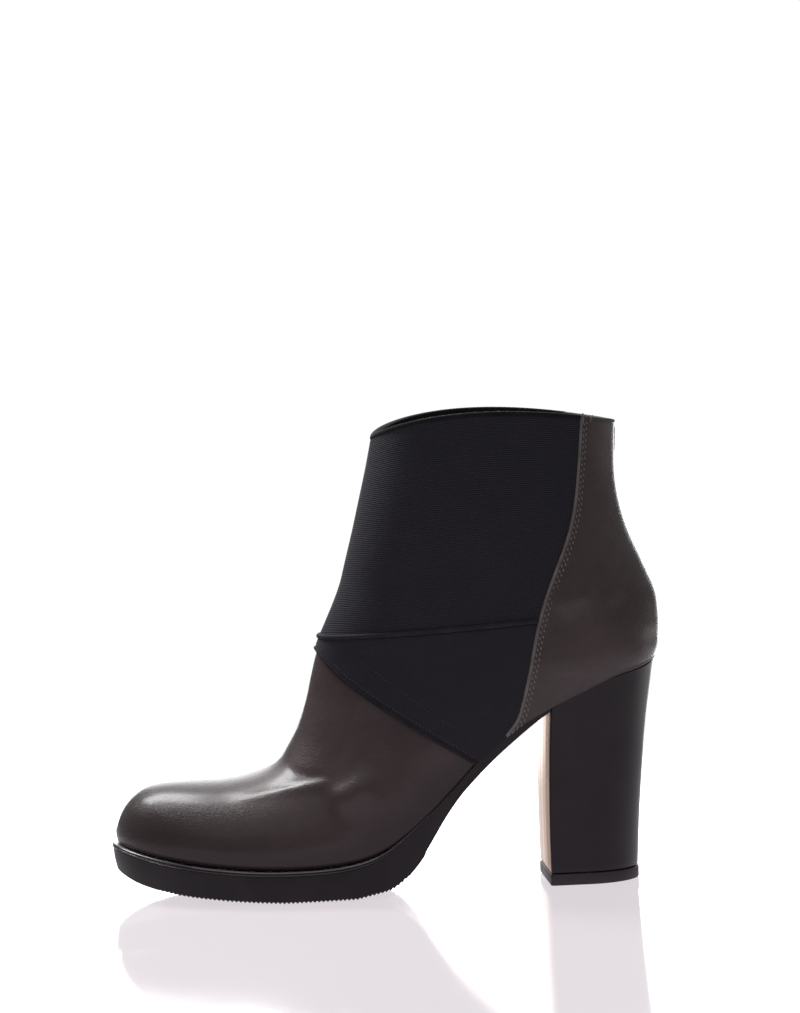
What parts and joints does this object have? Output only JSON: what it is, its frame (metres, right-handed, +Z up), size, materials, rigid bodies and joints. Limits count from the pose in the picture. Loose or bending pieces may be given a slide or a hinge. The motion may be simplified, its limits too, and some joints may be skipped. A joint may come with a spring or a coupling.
{
  "type": "heeled ankle boot",
  "caption": "Ankle boot with a tall block heel and a platform forefoot; leather vamp and heel counter with ribbed elastic round the ankle and at the sides.",
  "frame": {"origin": "on the floor, under the middle of the boot's bounding box", "axes": "+X from the toe to the heel, -Y to the outer side of the foot, +Z up"},
  "size_m": [0.2405, 0.0854, 0.2058],
  "materials": {
    "leather": "smooth dark taupe leather, semi-gloss, fine soft grain",
    "elastic": "black ribbed elastic, matt",
    "sole_rubber": "black moulded rubber, satin",
    "heel_cover": "black heel, satin sides and glossy breast",
    "lift_rubber": "black rubber, matt",
    "insole_lining": "plain lining leather, matt"
  },
  "bodies": {
    "root": {"upper": "leather", "counter": "leather", "elastic_band": "elastic", "gusset_lateral": "elastic", "gusset_medial": "elastic", "sole": "sole_rubber", "heel_block": "heel_cover", "top_lift": "lift_rubber", "insole": "insole_lining"}
  },
  "joints": []
}
